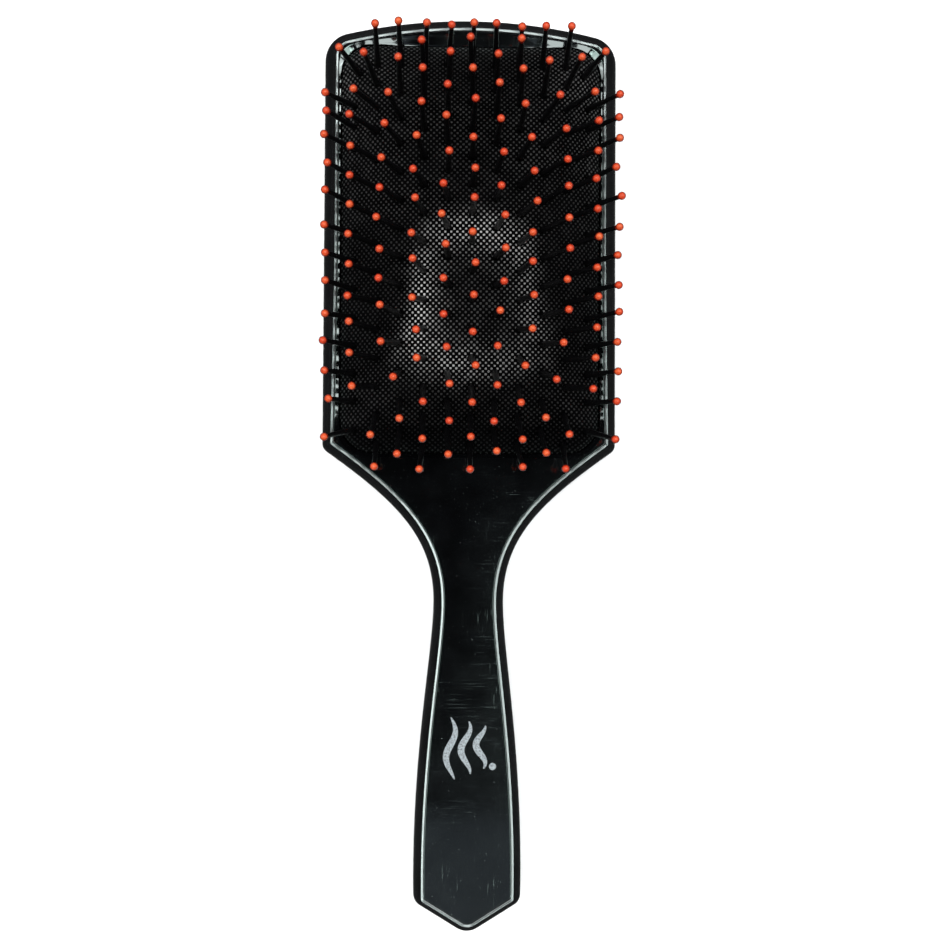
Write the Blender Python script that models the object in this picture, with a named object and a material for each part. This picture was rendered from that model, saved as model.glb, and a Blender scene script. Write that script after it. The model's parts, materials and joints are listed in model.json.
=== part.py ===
"""Cushioned paddle hair brush, lying on its back with the pins up.

Metres, +Z up. +Y points from the handle to the head, and the brush is symmetric in X.
The origin is under the middle of the brush, on the surface it rests on.
"""

import math

import bmesh
import bpy
import numpy as np

MM = 0.001
GAP = 0.3 * MM  # clearance left between pieces that touch

# Outline, half widths in X.
HEAD_TOP_Y = 122.5 * MM
HEAD_TOP_ARC_RADIUS = 144 * MM
HEAD_HALF_WIDTH_TOP = 39.2 * MM
HEAD_HALF_WIDTH_LOW = 39.5 * MM
HEAD_LOW_CORNER_Y = 7.0 * MM
NECK_HALF_WIDTH = 9.4 * MM
NECK_Y = -34 * MM
SWEEP_PULL = (19 * MM, -7.3 * MM)
NECK_PULL_UP = 17 * MM
NECK_PULL_DOWN = 14 * MM
HANDLE_PULL = (15.2 * MM, -75 * MM)
SHOULDER_HALF_WIDTH = 14.45 * MM
SHOULDER_Y = -114.5 * MM
SHARP_TIP_Y = -123.5 * MM
HEAD_CORNER_RADIUS = 7.5 * MM
HEAD_LOW_CORNER_RADIUS = 2.6 * MM
SHOULDER_RADIUS = 3.2 * MM
TIP_RADIUS = 5.6 * MM
LEAST_RADIUS = 0.7 * MM

# Heights of the body.
BODY_HEIGHT = 12.0 * MM
PLATE_TOP = 11.4 * MM
PLATE_THICKNESS = 1.8 * MM
PLATE_INSET = 2.9 * MM
LEDGE_DROP = 0.85 * MM
LEDGE_INSET = 3.2 * MM
LEDGE_LOW_WIDTH = 1.2 * MM
RIM_WALL_INSET = PLATE_INSET - GAP
PLATE_SEAT = PLATE_TOP - PLATE_THICKNESS - GAP
HANDLE_HOLLOW_INSET = 5.2 * MM
HANDLE_HOLLOW_FLOOR = 2.6 * MM
HANDLE_HOLLOW_TOP_Y = -7 * MM

# Window for the cushion, and the cushion's flange under its edge.
WINDOW_Y = 60.3 * MM
WINDOW_HALF_X = 34.7 * MM
WINDOW_HALF_Y = 54.4 * MM
WINDOW_RADIUS = 8.5 * MM
AIR_SPACE_FLOOR = 2.2 * MM
FLANGE_REACH = 1.3 * MM
FLANGE_TOP = PLATE_SEAT
FLANGE_THICKNESS = 1.2 * MM
CUSHION_THICKNESS = 1.5 * MM
CUSHION_WALL = 1.2 * MM

# Dome of the cushion above the face plate.
DOME_HEIGHT = 13.2 * MM
DOME_HALF_X = 35 * MM
DOME_HALF_Y = 55 * MM
DOME_POWER_X = 2.06
DOME_POWER_Y = 2.2
DOME_BLEND = 6.5
DOME_EDGE_SLOPE = 1.2

# Pins.
COLUMNS = 5  # on each side of the middle column
COLUMN_PITCH = 6.2 * MM
ROW_PITCH = 7.4 * MM
LAST_ROW_Y = -52 * MM
FIRST_ROW_STEP = 3.7 * MM
ROW_SAG = (0.6 * MM, 3.5 * MM, 1.7 * MM)
CORNER_STEP = (1.4 * MM, 2.0 * MM)  # the top corners' pins stand this far in, and down
CORNER_LEAN = (0.27, 0.14)
PIN_LENGTH = 16 * MM
PIN_ROOT_RADIUS = 0.78 * MM
PIN_NECK_RADIUS = 0.55 * MM
BALL_RADIUS = 1.05 * MM
PIN_SIDES = 6
PIN_LEAN = 0.93
MOST_LEAN = math.radians(25)
HOLE_CLEARANCE = 0.36 * MM
FOOT_DEPTH = 0.75 * MM
STRIP_HALF_WIDTH = 1.0 * MM
STRIP_THICKNESS = 1.1 * MM
STRIP_GAP = 0.5 * MM


def clear_scene():
    for obj in list(bpy.data.objects):
        bpy.data.objects.remove(obj, do_unlink=True)


def new_collection(name, hidden=False):
    group = bpy.data.collections.new(name)
    group.hide_render = hidden
    bpy.context.scene.collection.children.link(group)
    return group


def material(name, colour, roughness):
    mat = bpy.data.materials.new(name)
    mat.use_nodes = True
    shader = mat.node_tree.nodes["Principled BSDF"]
    shader.inputs["Base Color"].default_value = (*colour, 1.0)
    shader.inputs["Roughness"].default_value = roughness
    return mat


def mesh_object(name, bm, group, mat=None, smooth=True):
    bmesh.ops.recalc_face_normals(bm, faces=bm.faces)
    mesh = bpy.data.meshes.new(name)
    bm.to_mesh(mesh)
    bm.free()
    for face in mesh.polygons:
        face.use_smooth = smooth
    obj = bpy.data.objects.new(name, mesh)
    group.objects.link(obj)
    if mat:
        mesh.materials.append(mat)
    return obj


def cutter(name, bm, group):
    obj = mesh_object(name, bm, group, smooth=False)
    obj.hide_render = True
    obj.display_type = "WIRE"
    return obj


def boolean(obj, other, operation="DIFFERENCE"):
    modifier = obj.modifiers.new(f"{operation.lower()}_{other.name}", "BOOLEAN")
    modifier.operation = operation
    modifier.solver = "EXACT"
    modifier.object = other


# ---------------------------------------------------------------- outline


def bezier(p0, p1, p2, p3, count=240):
    t = np.linspace(0, 1, count)[:, None]
    p0, p1, p2, p3 = map(np.array, (p0, p1, p2, p3))
    a = (1 - t) ** 3 * p0 + 3 * (1 - t) ** 2 * t * p1
    return a + 3 * (1 - t) * t**2 * p2 + t**3 * p3


def straight(p0, p1, count=240):
    t = np.linspace(0, 1, count)[:, None]
    return np.array(p0) * (1 - t) + np.array(p1) * t


def side_curves():
    """The right side's sharp-cornered curves, from the top of the head to the handle's tip."""
    x = np.linspace(0, HEAD_HALF_WIDTH_TOP, 240)
    drop = HEAD_TOP_ARC_RADIUS - np.sqrt(HEAD_TOP_ARC_RADIUS**2 - x**2)
    top = np.stack([x, HEAD_TOP_Y - drop], axis=1)
    low_corner = (HEAD_HALF_WIDTH_LOW, HEAD_LOW_CORNER_Y)
    neck = (NECK_HALF_WIDTH, NECK_Y)
    shoulder = (SHOULDER_HALF_WIDTH, SHOULDER_Y)
    sweep = bezier(low_corner, SWEEP_PULL, (NECK_HALF_WIDTH, NECK_Y + NECK_PULL_UP), neck)
    handle = bezier(neck, (NECK_HALF_WIDTH, NECK_Y - NECK_PULL_DOWN), HANDLE_PULL, shoulder)
    return [
        top,
        straight(top[-1], low_corner),
        np.concatenate([sweep, handle[1:]]),
        straight(shoulder, (0, SHARP_TIP_Y)),
    ]


def inward(curve, distance):
    step = np.gradient(curve, axis=0)
    step /= np.linalg.norm(step, axis=1)[:, None]
    return curve + distance * np.stack([step[:, 1], -step[:, 0]], axis=1)


def crossing(a, b):
    """Where polyline a crosses polyline b: places along both, and the point."""
    p, r = a[:-1, None], (a[1:] - a[:-1])[:, None]
    q, s = b[None, :-1], (b[1:] - b[:-1])[None]
    cross = r[..., 0] * s[..., 1] - r[..., 1] * s[..., 0]
    cross = np.where(np.abs(cross) < 1e-18, 1e-18, cross)
    d = q - p
    t = (d[..., 0] * s[..., 1] - d[..., 1] * s[..., 0]) / cross
    u = (d[..., 0] * r[..., 1] - d[..., 1] * r[..., 0]) / cross
    hit = np.argwhere((t >= 0) & (t <= 1) & (u >= 0) & (u <= 1))
    i, j = hit[0]
    return i + t[i, j], j + u[i, j], a[i] + t[i, j] * (a[i + 1] - a[i])


def along(curve, place):
    i = min(int(place), len(curve) - 2)
    return curve[i] + (place - i) * (curve[i + 1] - curve[i])


def half_outline(inset, counts, arcs):
    """The right half of the outline moved inwards by inset, from top middle to tip."""
    curves = side_curves()
    radii = (HEAD_CORNER_RADIUS, HEAD_LOW_CORNER_RADIUS, SHOULDER_RADIUS, TIP_RADIUS)
    mirror = np.array([[0, 1.0], [0, -1.0]])
    starts, ends, centres = [0.0], [], []
    for k, radius in enumerate(radii):
        reach = max(radius, inset + LEAST_RADIUS)
        after = inward(curves[k + 1], reach) if k < 3 else mirror
        end, start, centre = crossing(inward(curves[k], reach), after)
        ends.append(end)
        starts.append(start)
        centres.append(centre)
    points = []
    for k, curve in enumerate(curves):
        moved = inward(curve, inset)
        places = np.linspace(starts[k], ends[k], counts[k] + 1)
        run = [along(moved, place) for place in places]
        points += run
        before = run[-1] - centres[k]
        a0 = math.atan2(before[1], before[0])
        if k < 3:
            after = along(inward(curves[k + 1], inset), starts[k + 1]) - centres[k]
            a1 = math.atan2(after[1], after[0])
        else:
            a1 = -math.pi / 2
        radius = np.linalg.norm(before)
        for step in range(1, arcs[k] + (k == 3)):
            angle = a0 + (a1 - a0) * step / arcs[k]
            points.append(centres[k] + radius * np.array([math.cos(angle), math.sin(angle)]))
    return np.array(points)


def outline(inset, counts=(5, 4, 18, 2), arcs=(5, 3, 3, 3)):
    half = half_outline(inset, counts, arcs)
    left = half[1:-1][::-1] * np.array([-1, 1])
    return np.concatenate([half, left])


def rounded_window(grow, sides=(6, 9), arc=4):
    """The window's outline about its own middle, grown outwards by grow."""
    half_x, half_y = WINDOW_HALF_X + grow, WINDOW_HALF_Y + grow
    radius = max(WINDOW_RADIUS + grow, 0.6 * MM)
    radius = min(radius, half_x * 0.98)
    points = []
    corners = ((1, 1), (1, -1), (-1, -1), (-1, 1))
    for k, (sx, sy) in enumerate(corners):
        centre = np.array([sx * (half_x - radius), sy * (half_y - radius)])
        start = math.pi / 2 * (1 - k)
        for step in range(arc + 1):
            angle = start - math.pi / 2 * step / arc
            points.append(centre + radius * np.array([math.cos(angle), math.sin(angle)]))
        sx, sy = corners[(k + 1) % 4]
        following = np.array([sx * (half_x - radius), sy * (half_y - radius)])
        angle = start - math.pi / 2
        following = following + radius * np.array([math.cos(angle), math.sin(angle)])
        count = sides[(k + 1) % 2]
        for step in range(1, count):
            points.append(points[-step] + (following - points[-step]) * step / count)
    return np.array(points)


def zip_across(bm, loop):
    """Closes a loop that is symmetric in X with faces that run straight across it."""
    count = len(loop)
    top = max(range(count), key=lambda i: loop[i].co.y - abs(loop[i].co.x))
    right = [loop[(top + i) % count] for i in range(count // 2 + 1)]
    left = [loop[(top - i) % count] for i in range(count // 2 + 1)]
    for i in range(count // 2):
        corners = [right[i], right[i + 1], left[i + 1], left[i]]
        bm.faces.new(list(dict.fromkeys(corners)))


def loft(rings, domed=False):
    """A closed solid through rings of equal length. Each is (points in the plane, heights)."""
    bm = bmesh.new()
    loops = []
    for points, heights in rings:
        heights = np.broadcast_to(heights, len(points))
        loops.append([bm.verts.new((x, y, z)) for (x, y), z in zip(points, heights)])
    for low, high in zip(loops, loops[1:]):
        count = len(low)
        for i in range(count):
            j = (i + 1) % count
            bm.faces.new((low[i], low[j], high[j], high[i]))
    if domed:
        zip_across(bm, loops[0])
        zip_across(bm, loops[-1])
    else:
        bm.faces.new(loops[0][::-1])
        bm.faces.new(loops[-1])
    return bm


# ---------------------------------------------------------------- body


def window_prism(name, grow, low, high, group):
    points = rounded_window(grow) + np.array([0, WINDOW_Y])
    return cutter(name, loft([(points, low), (points, high)]), group)


def handle_hollow(group):
    inner = outline(HANDLE_HOLLOW_INSET)
    low = inner[:, 1] < HANDLE_HOLLOW_TOP_Y
    points = inner[low]
    bm = loft([(points, HANDLE_HOLLOW_FLOOR), (points, BODY_HEIGHT)])
    return cutter("handle_hollow", bm, group)


def body_shell(group, cutters, mat):
    section = (
        (5.2, 0.0),
        (2.7, 0.5),
        (1.0, 1.9),
        (0.15, 4.2),
        (0.0, 6.6),
        (0.1, 8.4),
        (0.42, 9.9),
        (1.0, 10.95),
        (1.95, 11.9),
        (2.1, 12.0),
        (2.5, 11.81),
    )
    rings = [(outline(inset * MM), height * MM) for inset, height in section]
    rings.append((outline(RIM_WALL_INSET), BODY_HEIGHT - 0.3 * MM))
    rings.append((outline(RIM_WALL_INSET), PLATE_SEAT))
    shell = mesh_object("body_shell", loft(rings), group, mat)
    above = BODY_HEIGHT + 1 * MM
    flange_floor = FLANGE_TOP - FLANGE_THICKNESS - GAP
    boolean(shell, window_prism("flange_seat", FLANGE_REACH + GAP, flange_floor, above, cutters))
    boolean(shell, window_prism("air_space", 0, AIR_SPACE_FLOOR, above, cutters))
    boolean(shell, handle_hollow(cutters))
    return shell


def inside(points, polygon):
    a, b = polygon, np.roll(polygon, -1, axis=0)
    x, y = points[:, :1], points[:, 1:]
    spans = (a[:, 1] > y) != (b[:, 1] > y)
    at = a[:, 0] + (y - a[:, 1]) * (b[:, 0] - a[:, 0]) / (b[:, 1] - a[:, 1] + 1e-18)
    return (spans & (x < at)).sum(axis=1) % 2 == 1


def ledge(group):
    """The cutter for the window and for the ledge that slopes down to it from the rim."""
    ring = rounded_window(0)
    step = np.roll(ring, -1, axis=0) - np.roll(ring, 1, axis=0)
    step /= np.linalg.norm(step, axis=1)[:, None]
    normals = np.stack([-step[:, 1], step[:, 0]], axis=1)
    ring = ring + np.array([0, WINDOW_Y])
    reach = np.zeros(len(ring))
    going = np.ones(len(ring), bool)
    border = outline(LEDGE_INSET)
    for distance in np.arange(0.1, 8, 0.1) * MM:
        going &= inside(ring + normals * distance, border)
        reach[going] = distance
    low = np.clip((WINDOW_Y - WINDOW_HALF_Y + 16 * MM - ring[:, 1]) / (14 * MM), 0, 1)
    reach = reach * (1 - low) + np.minimum(reach, LEDGE_LOW_WIDTH) * low
    wide = ring + normals * reach[:, None]
    foot = PLATE_TOP - LEDGE_DROP
    under_plate = PLATE_TOP - PLATE_THICKNESS - 1 * MM
    rings = [(ring, under_plate), (ring, foot), (wide, PLATE_TOP), (wide, PLATE_TOP + 1 * MM)]
    return cutter("ledge", loft(rings), group)


def face_plate(group, cutters, mat):
    low = PLATE_TOP - PLATE_THICKNESS
    rings = [
        (outline(PLATE_INSET), low),
        (outline(PLATE_INSET), PLATE_TOP - 0.25 * MM),
        (outline(PLATE_INSET + 0.25 * MM), PLATE_TOP),
    ]
    plate = mesh_object("face_plate", loft(rings), group, mat)
    boolean(plate, ledge(cutters))
    return plate


# ---------------------------------------------------------------- cushion


def depth_inside(x, y):
    """Distance in from the window's edge."""
    qx = np.abs(x) - (WINDOW_HALF_X - WINDOW_RADIUS)
    qy = np.abs(y) - (WINDOW_HALF_Y - WINDOW_RADIUS)
    outside = np.hypot(np.maximum(qx, 0), np.maximum(qy, 0))
    return WINDOW_RADIUS - outside - np.minimum(np.maximum(qx, qy), 0)


def dome(x, y):
    """Height of the cushion's outer surface over the face plate, about the window's middle."""
    across = 1 - np.minimum(np.abs(x) / DOME_HALF_X, 0.999) ** DOME_POWER_X
    down = 1 - np.minimum(np.abs(y) / DOME_HALF_Y, 0.999) ** DOME_POWER_Y
    pillow = (across**-DOME_BLEND + down**-DOME_BLEND) ** (-1 / DOME_BLEND)
    height = DOME_HEIGHT * pillow * 2 ** (1 / DOME_BLEND)
    edge = DOME_EDGE_SLOPE * np.maximum(depth_inside(x, y), 0) + 0.1 * MM
    return (height**-4 + edge**-4) ** -0.25


def cushion(group, cutters, mat, roots):
    wall = 0.3 * MM
    inner = wall + CUSHION_WALL
    flange_low = FLANGE_TOP - FLANGE_THICKNESS
    dome_insets = [wall, 1.4 * MM, 4 * MM, 8 * MM, 13 * MM, 19 * MM, 26 * MM, 33 * MM]
    under_insets = [33 * MM, 26 * MM, 19 * MM, 13 * MM, 8 * MM, 5 * MM, 3.2 * MM, inner + 0.3 * MM]
    rings = []
    for inset in under_insets:
        points = rounded_window(-inset)
        height = PLATE_TOP + dome(*points.T) - CUSHION_THICKNESS
        rings.append((points, height))
    rings.append((rounded_window(-inner), flange_low))
    rings.append((rounded_window(FLANGE_REACH), flange_low))
    rings.append((rounded_window(FLANGE_REACH), FLANGE_TOP))
    rings.append((rounded_window(-wall), FLANGE_TOP))
    for inset in dome_insets:
        points = rounded_window(-inset)
        rings.append((points, PLATE_TOP + dome(*points.T)))
    rings = [(points + np.array([0, WINDOW_Y]), height) for points, height in rings]
    pad = mesh_object("cushion_pad", loft(rings, domed=True), group, mat)
    boolean(pad, pin_holes(cutters, roots))
    return pad


# ---------------------------------------------------------------- pins


def pin_columns():
    """(column, place from the top, count in the column) and the root's plan position."""
    for column in range(-COLUMNS, COLUMNS + 1):
        even = column % 2 == 0
        count = 15 if even else 14
        for place in range(count):
            y = LAST_ROW_Y + (count - 1 - place) * ROW_PITCH + (0 if even else ROW_PITCH / 2)
            if even and place == 0:
                y = LAST_ROW_Y + 13 * ROW_PITCH + FIRST_ROW_STEP
            if place < len(ROW_SAG):
                y -= ROW_SAG[place] * (column / COLUMNS) ** 2
            yield column, place, count, column * COLUMN_PITCH, y


def pin_direction(x, y, corner=False):
    """Square to the dome, but never leaning further than MOST_LEAN."""
    if corner:
        direction = np.array([math.copysign(CORNER_LEAN[0], x), CORNER_LEAN[1], 1.0])
        return direction / np.linalg.norm(direction)
    step = 0.1 * MM
    slope_x = (dome(x + step, y) - dome(x - step, y)) / (2 * step)
    slope_y = (dome(x, y + step) - dome(x, y - step)) / (2 * step)
    lean = np.array([-slope_x, -slope_y]) * PIN_LEAN
    size = float(np.hypot(*lean))
    most = math.tan(MOST_LEAN)
    if size > most:
        lean *= most / size
    direction = np.array([lean[0], lean[1], 1.0])
    return direction / np.linalg.norm(direction)


def pin_roots():
    """Every pin: its ring, whether it's on a side or an end, its root and its direction."""
    roots = []
    for column, place, count, x, y in pin_columns():
        ring = min(COLUMNS - abs(column), place, count - 1 - place)
        on_side = ring == COLUMNS - abs(column)
        if on_side:
            part = "middle" if column == 0 else ("right" if column > 0 else "left")
        else:
            part = "top" if place < count - 1 - place else "bottom"
        corner = abs(column) == COLUMNS and place == 0
        if corner:
            x, y = x - math.copysign(CORNER_STEP[0], x), y - CORNER_STEP[1]
        root = np.array([x, y + WINDOW_Y, PLATE_TOP + float(dome(x, y))])
        order = -place if on_side else column
        roots.append((ring, part, order, root, pin_direction(x, y, corner)))
    return roots


def frame_of(direction):
    across = np.cross(direction, [0, 1.0, 0])
    across /= np.linalg.norm(across)
    return across, np.cross(direction, across)


def add_turned(bm, base, direction, profile):
    """A closed turned solid along direction. profile is (distance from base, radius) pairs."""
    across, up = frame_of(direction)
    loops = []
    for distance, radius in profile:
        centre = base + distance * direction
        if radius == 0:
            loops.append([bm.verts.new(centre)])
            continue
        ring = []
        for side in range(PIN_SIDES):
            angle = 2 * math.pi * side / PIN_SIDES
            ring.append(bm.verts.new(centre + radius * (math.cos(angle) * across + math.sin(angle) * up)))
        loops.append(ring)
    bm.faces.new(loops[0][::-1])
    for low, high in zip(loops, loops[1:]):
        for side in range(PIN_SIDES):
            after = (side + 1) % PIN_SIDES
            if len(high) == 1:
                bm.faces.new((low[side], low[after], high[0]))
            else:
                bm.faces.new((low[side], low[after], high[after], high[side]))
    if len(loops[-1]) > 1:
        bm.faces.new(loops[-1])


def pin_holes(group, roots):
    bm = bmesh.new()
    radius = PIN_ROOT_RADIUS + HOLE_CLEARANCE
    for _, _, _, root, direction in roots:
        add_turned(bm, root - 3.2 * MM * direction, direction, ((0, radius), (5.0 * MM, radius)))
    return cutter("pin_holes", bm, group)


def foot_of(root, direction):
    """Where a pin's axis meets the strip behind the cushion."""
    below = CUSHION_THICKNESS + STRIP_GAP + FOOT_DEPTH
    return root - direction * below


def under(x, y):
    """Height of the strips' upper side."""
    return PLATE_TOP + float(dome(x, y - WINDOW_Y)) - CUSHION_THICKNESS - STRIP_GAP


def strip(name, feet, group):
    """The thin strip behind the cushion that joins the feet of one group of pins."""
    feet = [foot[:2] for foot in feet]
    first, last = (feet[0], feet[-1]) if len(feet) > 1 else (feet[0], feet[0] + np.array([0, MM]))
    end = STRIP_HALF_WIDTH
    out_first = (first - (feet[1] if len(feet) > 1 else last)) / MM
    out_first /= np.linalg.norm(out_first)
    out_last = (last - feet[-2]) if len(feet) > 1 else -out_first
    out_last = out_last / np.linalg.norm(out_last)
    path = [feet[0] + out_first * end, *feet, feet[-1] + out_last * end]
    bm = bmesh.new()
    loops = []
    for i, point in enumerate(path):
        before = path[max(i - 1, 0)]
        after = path[min(i + 1, len(path) - 1)]
        run = (after - before) / np.linalg.norm(after - before)
        side = np.array([run[1], -run[0]]) * STRIP_HALF_WIDTH
        right, left = point + side, point - side
        low = -STRIP_THICKNESS
        corners = [
            (*right, under(*right)),
            (*left, under(*left)),
            (*left, under(*left) + low),
            (*right, under(*right) + low),
        ]
        loops.append([bm.verts.new(corner) for corner in corners])
    for a, b in zip(loops, loops[1:]):
        for i in range(4):
            j = (i + 1) % 4
            bm.faces.new((a[i], a[j], b[j], b[i]))
    bm.faces.new(loops[0][::-1])
    bm.faces.new(loops[-1])
    return mesh_object(name, bm, group, smooth=False)


def pin_profile():
    start = CUSHION_THICKNESS + STRIP_GAP + FOOT_DEPTH
    tip = start + PIN_LENGTH
    return (
        (0, PIN_ROOT_RADIUS),
        (tip - 1.9 * MM, PIN_NECK_RADIUS),
        (tip - 1.45 * MM, 0.9 * BALL_RADIUS),
        (tip - 0.55 * MM, 0.9 * BALL_RADIUS),
        (tip, 0),
    )


def pin_group(name, members, group, cutters, mat):
    members = sorted(members, key=lambda member: member[2])
    feet = [foot_of(root, direction) for _, _, _, root, direction in members]
    piece = strip(name, feet, group)
    piece.data.materials.append(mat)
    bm = bmesh.new()
    for foot, member in zip(feet, members):
        add_turned(bm, foot, member[4], pin_profile())
    boolean(piece, cutter(f"shafts_{name}", bm, cutters), "UNION")
    return piece


def build():
    clear_scene()
    group = new_collection("paddle_brush")
    cutters = new_collection("cutters", hidden=True)
    gloss = material("black_gloss", (0.012, 0.012, 0.013), 0.2)
    satin = material("black_satin", (0.016, 0.016, 0.018), 0.35)
    rubber = material("black_rubber", (0.03, 0.03, 0.032), 0.6)
    nylon = material("black_nylon", (0.015, 0.015, 0.016), 0.4)
    body_shell(group, cutters, gloss)
    face_plate(group, cutters, satin)
    roots = pin_roots()
    cushion(group, cutters, rubber, roots)
    groups = {}
    for member in roots:
        groups.setdefault((member[0], member[1]), []).append(member)
    for (ring, part), members in sorted(groups.items()):
        pin_group(f"pins_ring{ring}_{part}", members, group, cutters, nylon)


build()
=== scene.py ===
"""Looks for the cushioned paddle brush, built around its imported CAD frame.

Metres, +Z up. The brush lies on its back with the pins up, +Y towards the head.
"""

import json
import math
import random

import bmesh
import bpy
import numpy as np
from mathutils import Matrix, Vector

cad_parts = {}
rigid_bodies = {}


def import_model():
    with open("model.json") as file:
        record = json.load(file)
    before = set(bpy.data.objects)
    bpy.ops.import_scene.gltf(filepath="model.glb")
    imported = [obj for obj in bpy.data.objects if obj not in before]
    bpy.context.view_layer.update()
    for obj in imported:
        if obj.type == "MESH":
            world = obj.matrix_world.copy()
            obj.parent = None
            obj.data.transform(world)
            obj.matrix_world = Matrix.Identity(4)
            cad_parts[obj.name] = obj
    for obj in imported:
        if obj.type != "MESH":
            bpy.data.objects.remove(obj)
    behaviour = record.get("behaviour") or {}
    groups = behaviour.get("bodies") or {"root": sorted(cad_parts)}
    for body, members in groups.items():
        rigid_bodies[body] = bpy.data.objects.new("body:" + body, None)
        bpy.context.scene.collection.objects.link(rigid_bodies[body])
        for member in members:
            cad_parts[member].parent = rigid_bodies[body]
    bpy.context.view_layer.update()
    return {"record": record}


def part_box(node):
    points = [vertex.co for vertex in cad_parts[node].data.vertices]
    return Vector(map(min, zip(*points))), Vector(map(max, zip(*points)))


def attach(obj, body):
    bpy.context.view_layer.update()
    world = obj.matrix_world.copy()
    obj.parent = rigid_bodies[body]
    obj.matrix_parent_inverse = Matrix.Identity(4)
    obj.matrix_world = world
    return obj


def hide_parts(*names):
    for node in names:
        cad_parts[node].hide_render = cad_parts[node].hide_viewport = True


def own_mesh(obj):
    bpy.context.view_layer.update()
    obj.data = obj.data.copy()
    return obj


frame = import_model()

MM = 0.001
GAP = 0.3 * MM  # clearance left between pieces that touch
BODIES = frame["record"]["behaviour"]["bodies"]
BODY_OF = {node: body for body, nodes in BODIES.items() for node in nodes}

SHELL_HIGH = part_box("body_shell")[1]
PLATE_LOW, PLATE_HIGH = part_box("face_plate")
PAD_LOW, PAD_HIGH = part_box("cushion_pad")
BODY_TOP = SHELL_HIGH.z
PLATE_TOP = PLATE_HIGH.z
PLATE_UNDER = PLATE_LOW.z

# Outline of the brush, half widths in X.
HEAD_TOP_Y = SHELL_HIGH.y
HEAD_TOP_ARC_RADIUS = 144 * MM
HEAD_HALF_WIDTH_TOP = 39.2 * MM
HEAD_HALF_WIDTH_LOW = SHELL_HIGH.x
HEAD_LOW_CORNER_Y = 7.0 * MM
NECK_HALF_WIDTH = 9.4 * MM
NECK_Y = -34 * MM
SWEEP_PULL = (19 * MM, -7.3 * MM)
NECK_PULL_UP = 17 * MM
NECK_PULL_DOWN = 14 * MM
HANDLE_PULL = (15.2 * MM, -75 * MM)
SHOULDER_HALF_WIDTH = 14.45 * MM
SHOULDER_Y = -114.5 * MM
SHARP_TIP_Y = -123.5 * MM
CORNER_RADII = (7.5 * MM, 2.6 * MM, 3.2 * MM, 5.6 * MM)  # from the head's top to the tip
LEAST_RADIUS = 0.7 * MM
RIM_EXTRA = (0.15 * MM, 1.22 * MM)  # how much farther in the rim lies, at these places in Y
RIM_EXTRA_Y = (-25 * MM, 68 * MM)

# Window, cushion and dome.
FLANGE_REACH = 1.3 * MM
FLANGE_THICKNESS = 1.2 * MM
WINDOW_Y = (PAD_LOW.y + PAD_HIGH.y) / 2
WINDOW_HALF_X = PAD_HIGH.x - FLANGE_REACH
WINDOW_HALF_Y = (PAD_HIGH.y - PAD_LOW.y) / 2 - FLANGE_REACH
WINDOW_RADIUS = 8.5 * MM
FLANGE_TOP = PAD_LOW.z + FLANGE_THICKNESS
CUSHION_THICKNESS = 1.5 * MM
CUSHION_WALL = 1.2 * MM
DOME_HEIGHT = 13.2 * MM
DOME_HALF_X = 35 * MM
DOME_HALF_Y = 55 * MM
DOME_POWER_X = 2.06
DOME_POWER_Y = 2.2
DOME_BLEND = 6.5
DOME_EDGE_SLOPE = 1.2
DOT_PITCH = 1.525 * MM

# Pins.
COLUMNS = 5  # on each side of the middle column
LONG_COLUMN, SHORT_COLUMN = 15, 14  # pins in a column
COLUMN_PITCH = 6.2 * MM
ROW_PITCH = 7.4 * MM
LAST_ROW_Y = -52 * MM
FIRST_ROW_STEP = 3.7 * MM
ROW_SAG = (0.6 * MM, 3.5 * MM, 1.7 * MM)
PIN_LENGTH = 16 * MM
PIN_LEAN = 0.93
MOST_LEAN = math.radians(25)
BALL_RADIUS = 1.05 * MM
CORNER_STEP = (1.4 * MM, 2.0 * MM)  # the top corners' pins stand this far in, and down
CORNER_LEAN = (0.27, 0.14)


# ---------------------------------------------------------------- outlines


def eased(t):
    """0 to 1 with level ends, for t from 0 to 1."""
    return t * t * (3 - 2 * t)


def bell(distance, width=1.0):
    return np.exp(-((distance / width) ** 2))


def bezier(p0, p1, p2, p3, count=400):
    t = np.linspace(0, 1, count)[:, None]
    p0, p1, p2, p3 = map(np.array, (p0, p1, p2, p3))
    return (1 - t) ** 3 * p0 + 3 * (1 - t) ** 2 * t * p1 + 3 * (1 - t) * t**2 * p2 + t**3 * p3


def straight(p0, p1, count=400):
    t = np.linspace(0, 1, count)[:, None]
    return np.array(p0) * (1 - t) + np.array(p1) * t


def side_curves():
    """The right side's sharp-cornered curves, from the top of the head to the handle's tip."""
    x = np.linspace(0, HEAD_HALF_WIDTH_TOP, 400)
    drop = HEAD_TOP_ARC_RADIUS - np.sqrt(HEAD_TOP_ARC_RADIUS**2 - x**2)
    top = np.stack([x, HEAD_TOP_Y - drop], axis=1)
    low_corner = (HEAD_HALF_WIDTH_LOW, HEAD_LOW_CORNER_Y)
    neck = (NECK_HALF_WIDTH, NECK_Y)
    shoulder = (SHOULDER_HALF_WIDTH, SHOULDER_Y)
    sweep = bezier(low_corner, SWEEP_PULL, (NECK_HALF_WIDTH, NECK_Y + NECK_PULL_UP), neck)
    handle = bezier(neck, (NECK_HALF_WIDTH, NECK_Y - NECK_PULL_DOWN), HANDLE_PULL, shoulder)
    return [
        top,
        straight(top[-1], low_corner),
        np.concatenate([sweep, handle[1:]]),
        straight(shoulder, (0, SHARP_TIP_Y)),
    ]


def inward(curve, distance):
    step = np.gradient(curve, axis=0)
    step /= np.linalg.norm(step, axis=1)[:, None]
    return curve + distance * np.stack([step[:, 1], -step[:, 0]], axis=1)


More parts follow.
